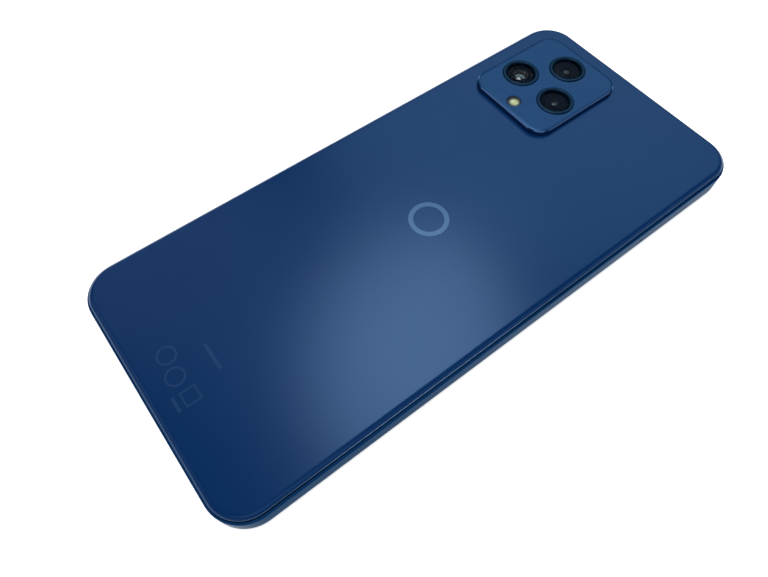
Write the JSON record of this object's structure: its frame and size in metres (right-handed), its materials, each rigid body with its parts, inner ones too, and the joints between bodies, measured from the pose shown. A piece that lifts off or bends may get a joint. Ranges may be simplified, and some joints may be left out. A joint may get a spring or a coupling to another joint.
{
  "type": "smartphone",
  "caption": "Large-screen smartphone lying on its screen, with a raised lens island, side keys, card tray, sockets and its boards, battery and cameras inside.",
  "frame": {"origin": "centre of the front glass's outer face, midway across the body's width and length without the keys", "axes": "+Y along the length to the top edge, +Z through the thickness from the screen to the back, +X across the width to the card tray's side; the phone rests on its screen"},
  "size_m": [0.0775, 0.17, 0.0109],
  "materials": {
    "back_blue": "dark blue moulded panel under a satin clear coat",
    "frame_blue": "blue moulded frame, satin",
    "deck_blue": "blue anodised look, satin, bright bevel",
    "trim_ring": "dark blue metal, satin",
    "front_glass": "black-printed polished glass",
    "lens_glass": "dark coated glass",
    "flash_lens": "translucent ribbed lens over a yellow emitter",
    "lcd": "dark liquid-crystal panel",
    "white_tray": "white diffuser in a thin tray",
    "black_plastic": "black moulded plastic",
    "adhesive": "black foam tape",
    "white_tape": "white pull tape",
    "plate_metal": "die-cast, matt",
    "steel": "thin stamped sheet",
    "gold": "gold-plated",
    "board_green": "solder mask",
    "chip_black": "epoxy package",
    "battery_foil": "laminated pouch, dark grey",
    "polyimide": "amber film",
    "rubber": "soft black rubber",
    "sensor_cap": "lacquered sensor cap"
  },
  "bodies": {
    "chassis": {"cover_glass": "front_glass", "display_panel": "lcd", "backlight": "white_tray", "display_adhesive": "adhesive", "side_frame": "frame_blue", "mid_plate": "plate_metal", "rear_cover": "back_blue", "rear_cover_adhesive": "adhesive", "camera_deck": "deck_blue", "camera_deck_adhesive": "adhesive", "lens_ring_1": "trim_ring", "lens_ring_2": "trim_ring", "lens_ring_3": "trim_ring", "lens_window_1": "lens_glass", "lens_window_2": "lens_glass", "lens_window_3": "lens_glass", "flash_window": "flash_lens", "flash_led": "flash_lens", "flash_board": "board_green", "main_camera": "black_plastic", "image_sensor": "chip_black", "wide_camera": "black_plastic", "macro_camera": "black_plastic", "front_camera": "black_plastic", "earpiece": "black_plastic", "earpiece_mesh": "steel", "loudspeaker": "black_plastic", "loudspeaker_mesh": "steel", "microphone": "gold", "usb_shell": "steel", "usb_tongue": "black_plastic", "headphone_socket": "black_plastic", "sim_reader": "steel", "key_switches": "steel", "key_flex": "polyimide", "key_bracket": "steel", "main_board": "board_green", "shield_cans": "steel", "processor": "chip_black", "sub_board": "board_green", "battery": "battery_foil", "battery_adhesive": "white_tape", "main_flex": "polyimide", "display_flex": "polyimide", "coax_cable": "rubber", "motor_can": "steel", "top_bracket": "black_plastic", "bottom_bracket": "black_plastic", "nfc_antenna": "gold", "screws": "steel"},
    "power_key": {"power_key": "frame_blue", "fingerprint_sensor": "sensor_cap"},
    "volume_rocker": {"volume_rocker": "frame_blue"},
    "sim_tray": {"sim_tray": "frame_blue", "sim_tray_seal": "rubber"},
    "eject_rod": {"eject_rod": "steel"},
    "eject_lever": {"eject_lever": "steel"},
    "main_lens": {"main_lens_barrel": "black_plastic"},
    "motor_rotor": {"motor_rotor": "plate_metal"}
  },
  "joints": [
    {"name": "power_key_press", "type": "slide", "parent": "chassis", "child": "power_key", "axis": [1, 0, 0], "range_m": [0, 0.00025], "stiffness_N_per_m": 500},
    {"name": "volume_rock", "type": "hinge", "parent": "chassis", "child": "volume_rocker", "pos_m": [-0.03615, 0.037, 0.00487], "axis": [0, 0, 1], "range_deg": [-1, 1], "stiffness_Nm_per_rad": 0.05},
    {"name": "card_tray_slide", "type": "slide", "parent": "chassis", "child": "sim_tray", "axis": [1, 0, 0], "range_m": [0, 0.025]},
    {"name": "eject_rod_push", "type": "slide", "parent": "chassis", "child": "eject_rod", "axis": [-1, 0, 0], "range_m": [0, 0.0015]},
    {"name": "eject_lever_turn", "type": "hinge", "parent": "chassis", "child": "eject_lever", "pos_m": [0.00915, 0.0485, 0.0034], "axis": [0, 0, -1], "range_deg": [0, 26.15]},
    {"name": "lens_focus", "type": "slide", "parent": "chassis", "child": "main_lens", "axis": [0, 0, 1], "range_m": [0, 0.0003], "stiffness_N_per_m": 100},
    {"name": "motor_spin", "type": "hinge", "parent": "chassis", "child": "motor_rotor", "pos_m": [-0.0295, -0.0686, 0.00265], "axis": [0, 0, 1], "continuous": true}
  ],
  "couplings": [
    {"joint": "eject_lever_turn", "follows": "eject_rod_push", "rad_per_m": 302}
  ]
}
